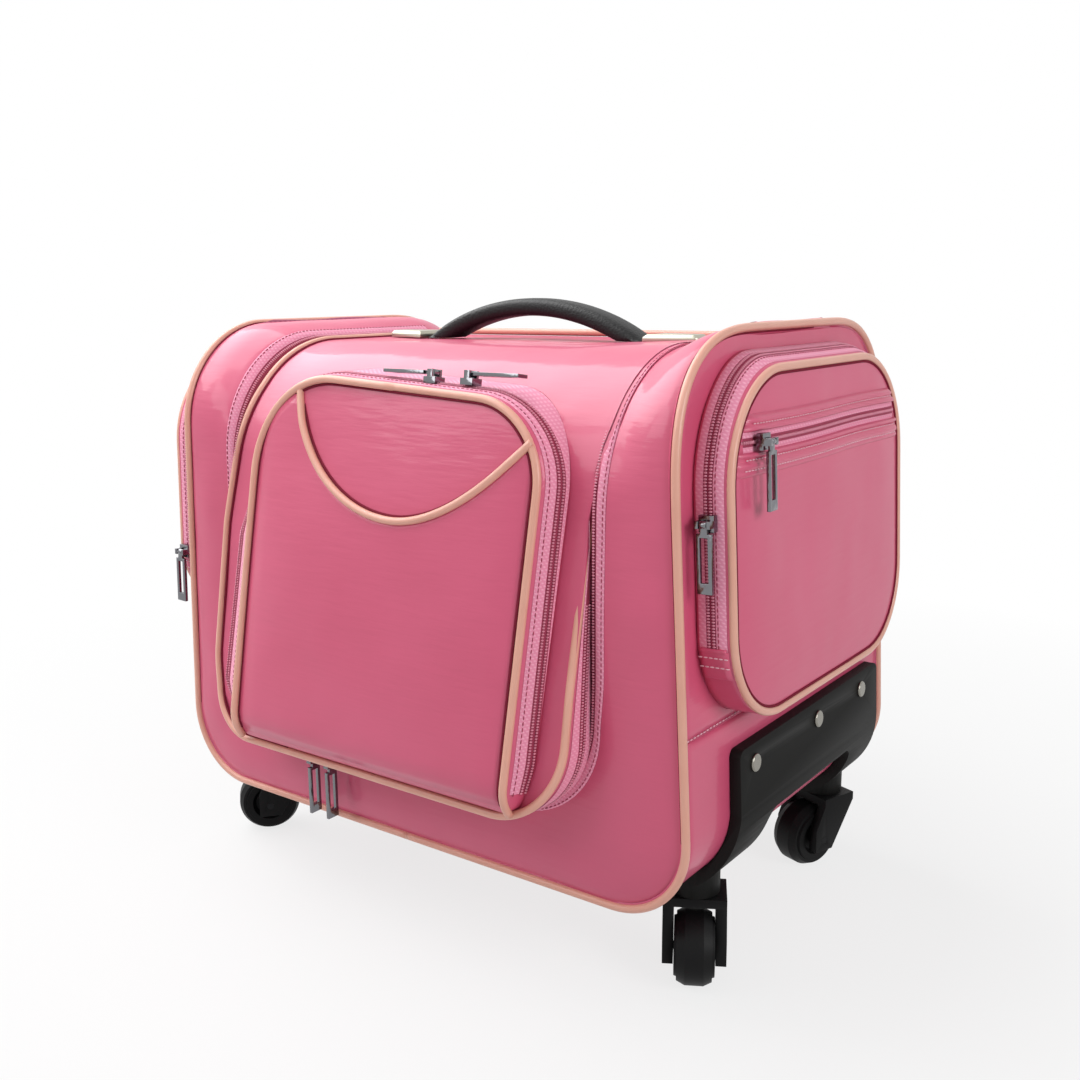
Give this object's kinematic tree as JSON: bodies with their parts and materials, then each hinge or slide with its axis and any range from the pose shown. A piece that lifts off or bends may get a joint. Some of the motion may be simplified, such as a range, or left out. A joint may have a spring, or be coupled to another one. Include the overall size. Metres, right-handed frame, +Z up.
{
  "type": "makeup train case",
  "caption": "Soft-sided makeup train case on swivel casters: zipped front flap with carry handle, front and end pockets, and a pull-out trolley handle at the back.",
  "frame": {"origin": "on the floor under the middle of the whole case, wheels down", "axes": "+X to the right seen from the front, +Y to the back, +Z up"},
  "size_m": [0.4634, 0.3465, 0.401],
  "materials": {
    "pink_pu": "glossy patent",
    "piping": "satin",
    "zip_tape": "woven",
    "black_plastic": "matte",
    "grip_black": "grained",
    "satin_silver": "satin",
    "board": "matte",
    "steel": "brushed",
    "trolley_tube": "anodised",
    "chrome": "polished",
    "wheel_black": "matte"
  },
  "bodies": {
    "case": {"front_panel": "pink_pu", "back_panel": "pink_pu", "base_panel": "pink_pu", "right_end_panel": "pink_pu", "left_end_panel": "pink_pu", "seam_piping": "piping", "main_zip_case_tape": "zip_tape", "base_board": "board", "right_wheel_bracket": "black_plastic", "left_wheel_bracket": "black_plastic", "bracket_rivets": "steel", "caster_stems": "steel", "trolley_housing": "black_plastic", "trolley_outer_tubes": "trolley_tube"},
    "flap": {"flap_panel": "pink_pu", "flap_piping": "piping", "main_zip_flap_tape": "zip_tape", "handle_grip": "grip_black", "handle_anchor_plates": "satin_silver"},
    "front_pocket": {"front_pocket_panel": "pink_pu", "front_pocket_piping": "piping", "front_pocket_zip_tape": "zip_tape", "scoop_panel": "pink_pu"},
    "right_pocket": {"right_pocket_panel": "pink_pu", "right_pocket_piping": "piping", "right_pocket_zip_tape": "zip_tape", "right_slit_zip": "zip_tape"},
    "left_pocket": {"left_pocket_panel": "pink_pu", "left_pocket_piping": "piping", "left_pocket_zip_tape": "zip_tape"},
    "front_right_caster": {"front_right_fork": "black_plastic", "front_right_axle": "steel"},
    "front_right_wheel": {"front_right_wheel": "wheel_black"},
    "rear_right_caster": {"rear_right_fork": "black_plastic", "rear_right_axle": "steel"},
    "rear_right_wheel": {"rear_right_wheel": "wheel_black"},
    "front_left_caster": {"front_left_fork": "black_plastic", "front_left_axle": "steel"},
    "front_left_wheel": {"front_left_wheel": "wheel_black"},
    "rear_left_caster": {"rear_left_fork": "black_plastic", "rear_left_axle": "steel"},
    "rear_left_wheel": {"rear_left_wheel": "wheel_black"},
    "trolley_middle": {"trolley_middle_tubes": "trolley_tube"},
    "trolley_inner": {"trolley_inner_tubes": "trolley_tube", "trolley_grip": "black_plastic"},
    "trolley_button": {"trolley_button": "black_plastic"},
    "main_left_slider": {"main_left_slider": "chrome"},
    "main_left_pull": {"main_left_pull": "chrome"},
    "main_right_slider": {"main_right_slider": "chrome"},
    "main_right_pull": {"main_right_pull": "chrome"},
    "pocket_left_slider": {"pocket_left_slider": "chrome"},
    "pocket_left_pull": {"pocket_left_pull": "chrome"},
    "pocket_right_slider": {"pocket_right_slider": "chrome"},
    "pocket_right_pull": {"pocket_right_pull": "chrome"},
    "right_pocket_slider": {"right_pocket_slider": "chrome"},
    "right_pocket_pull": {"right_pocket_pull": "chrome"},
    "left_pocket_slider": {"left_pocket_slider": "chrome"},
    "left_pocket_pull": {"left_pocket_pull": "chrome"},
    "slit_slider": {"slit_slider": "chrome"},
    "slit_pull": {"slit_pull": "chrome"}
  },
  "joints": [
    {"name": "flap_hinge", "type": "hinge", "parent": "case", "child": "flap", "pos_m": [0, 0.07525, 0.3756], "axis": [-1, 0, 0], "range_deg": [0, 105]},
    {"name": "front_pocket_hinge", "type": "hinge", "parent": "flap", "child": "front_pocket", "pos_m": [0, -0.1564, 0.1121], "axis": [1, 0, 0], "range_deg": [0, 70]},
    {"name": "right_pocket_hinge", "type": "hinge", "parent": "case", "child": "right_pocket", "pos_m": [0.20325, 0.01325, 0.16802], "axis": [0, 1, 0], "range_deg": [0, 55]},
    {"name": "left_pocket_hinge", "type": "hinge", "parent": "case", "child": "left_pocket", "pos_m": [-0.20325, 0.00725, 0.16802], "axis": [0, -1, 0], "range_deg": [0, 55]},
    {"name": "front_right_swivel", "type": "hinge", "parent": "case", "child": "front_right_caster", "pos_m": [0.18, -0.06875, 0], "axis": [0, 0, 1], "continuous": true},
    {"name": "front_right_roll", "type": "hinge", "parent": "front_right_caster", "child": "front_right_wheel", "pos_m": [0.18679, -0.08099, 0.0225], "axis": [0.8746, 0.4848, 0], "continuous": true},
    {"name": "rear_right_swivel", "type": "hinge", "parent": "case", "child": "rear_right_caster", "pos_m": [0.18, 0.11525, 0], "axis": [0, 0, 1], "continuous": true},
    {"name": "rear_right_roll", "type": "hinge", "parent": "rear_right_caster", "child": "rear_right_wheel", "pos_m": [0.17521, 0.10209, 0.0225], "axis": [0.9397, -0.342, 0], "continuous": true},
    {"name": "front_left_swivel", "type": "hinge", "parent": "case", "child": "front_left_caster", "pos_m": [-0.18, -0.06875, 0], "axis": [0, 0, 1], "continuous": true},
    {"name": "front_left_roll", "type": "hinge", "parent": "front_left_caster", "child": "front_left_wheel", "pos_m": [-0.189, -0.07948, 0.0225], "axis": [0.766, -0.6428, 0], "continuous": true},
    {"name": "rear_left_swivel", "type": "hinge", "parent": "case", "child": "rear_left_caster", "pos_m": [-0.18, 0.11525, 0], "axis": [0, 0, 1], "continuous": true},
    {"name": "rear_left_roll", "type": "hinge", "parent": "rear_left_caster", "child": "rear_left_wheel", "pos_m": [-0.187, 0.10313, 0.0225], "axis": [0.866, -0.5, 0], "continuous": true},
    {"name": "trolley_middle_slide", "type": "slide", "parent": "case", "child": "trolley_middle", "axis": [0, 0, 1], "range_m": [0, 0.22]},
    {"name": "trolley_inner_slide", "type": "slide", "parent": "trolley_middle", "child": "trolley_inner", "axis": [0, 0, 1], "range_m": [0, 0.22]},
    {"name": "trolley_button_press", "type": "slide", "parent": "trolley_inner", "child": "trolley_button", "axis": [0, 0, -1], "range_m": [0, 0.0025], "stiffness_N_per_m": 400},
    {"name": "main_left_zip_run", "type": "slide", "parent": "flap", "child": "main_left_slider", "axis": [-1, 0, 0], "range_m": [0, 0.024]},
    {"name": "main_left_pull_swing", "type": "hinge", "parent": "main_left_slider", "child": "main_left_pull", "pos_m": [-0.069, -0.14175, 0.1019], "axis": [0, -1, 0], "range_deg": [-80, 15]},
    {"name": "main_right_zip_run", "type": "slide", "parent": "flap", "child": "main_right_slider", "axis": [1, 0, 0], "range_m": [0, 0.14]},
    {"name": "main_right_pull_swing", "type": "hinge", "parent": "main_right_slider", "child": "main_right_pull", "pos_m": [-0.053, -0.14175, 0.1019], "axis": [0, 1, 0], "range_deg": [-80, 15]},
    {"name": "pocket_left_zip_run", "type": "slide", "parent": "front_pocket", "child": "pocket_left_slider", "axis": [-1, 0, 0], "range_m": [0, 0.1]},
    {"name": "pocket_left_pull_swing", "type": "hinge", "parent": "pocket_left_slider", "child": "pocket_left_pull", "pos_m": [0.031, -0.12293, 0.35971], "axis": [0, 0.9893, -0.1461], "range_deg": [0, 120]},
    {"name": "pocket_right_zip_run", "type": "slide", "parent": "front_pocket", "child": "pocket_right_slider", "axis": [1, 0, 0], "range_m": [0, 0.01]},
    {"name": "pocket_right_pull_swing", "type": "hinge", "parent": "pocket_right_slider", "child": "pocket_right_pull", "pos_m": [0.059, -0.12293, 0.35971], "axis": [0, -0.9893, 0.1461], "range_deg": [0, 120]},
    {"name": "right_pocket_zip_run", "type": "slide", "parent": "right_pocket", "child": "right_pocket_slider", "axis": [-0.0476, 0, 0.9989], "range_m": [-0.055, 0.01]},
    {"name": "right_pocket_pull_swing", "type": "hinge", "parent": "right_pocket_slider", "child": "right_pocket_pull", "pos_m": [0.20772, -0.11685, 0.28637], "axis": [-0.9989, 0, -0.0476], "range_deg": [0, 110]},
    {"name": "left_pocket_zip_run", "type": "slide", "parent": "left_pocket", "child": "left_pocket_slider", "axis": [0.0476, 0, 0.9989], "range_m": [-0.002, 0.075]},
    {"name": "left_pocket_pull_swing", "type": "hinge", "parent": "left_pocket_slider", "child": "left_pocket_pull", "pos_m": [-0.2193, -0.12285, 0.22184], "axis": [-0.9989, 0, 0.0476], "range_deg": [0, 110]},
    {"name": "slit_zip_run", "type": "slide", "parent": "right_pocket", "child": "slit_slider", "axis": [0, 1, 0], "range_m": [0, 0.18]},
    {"name": "slit_pull_swing", "type": "hinge", "parent": "slit_slider", "child": "slit_pull", "pos_m": [0.22739, -0.08075, 0.32735], "axis": [0, -1, 0], "range_deg": [0, 110]}
  ]
}
